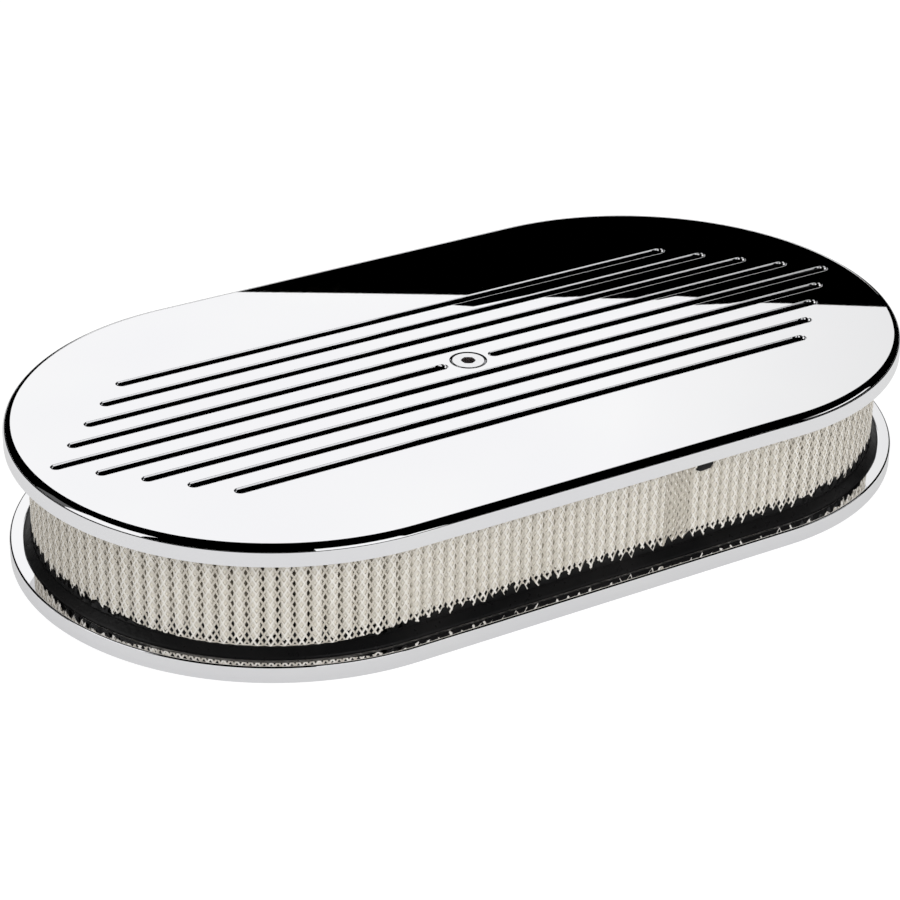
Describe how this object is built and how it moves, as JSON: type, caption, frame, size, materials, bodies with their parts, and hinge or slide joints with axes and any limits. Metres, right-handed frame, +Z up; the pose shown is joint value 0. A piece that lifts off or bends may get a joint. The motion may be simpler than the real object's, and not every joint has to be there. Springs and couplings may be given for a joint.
{
  "type": "carburetor air cleaner",
  "caption": "Oval carburetor air cleaner: a polished grooved lid held by a flush nut over a pleated paper element in a diamond screen, on a flat base with a round neck opening.",
  "frame": {"origin": "centre of the neck opening at the underside of the base, where the object rests", "axes": "+X along the oval, +Y across it to the back, +Z up through the lid"},
  "size_m": [0.392, 0.216, 0.0583],
  "materials": {
    "polished_aluminium": "mirror polished",
    "nut_steel": "polished",
    "screen_coating": "satin cream coating on expanded metal",
    "filter_paper": "matt fibrous",
    "seal_urethane": "moulded satin black",
    "gasket_rubber": "matt"
  },
  "bodies": {
    "base": {"base_plate": "polished_aluminium", "neck_gasket": "gasket_rubber"},
    "element": {"bottom_seal": "seal_urethane", "top_seal": "seal_urethane", "pleated_media": "filter_paper", "outer_screen": "screen_coating", "inner_screen": "screen_coating"},
    "lid": {"lid": "polished_aluminium"},
    "nut": {"hold_down_nut": "nut_steel", "nut_washer": "gasket_rubber"}
  },
  "joints": [
    {"name": "element_lift", "type": "slide", "parent": "base", "child": "element", "axis": [0, 0, 1], "range_m": [0, 0.09]},
    {"name": "lid_lift", "type": "slide", "parent": "element", "child": "lid", "axis": [0, 0, 1], "range_m": [0, 0.09]},
    {"name": "nut_turn", "type": "hinge", "parent": "lid", "child": "nut", "pos_m": [0, 0, 0.05], "axis": [0, 0, 1], "continuous": true}
  ]
}
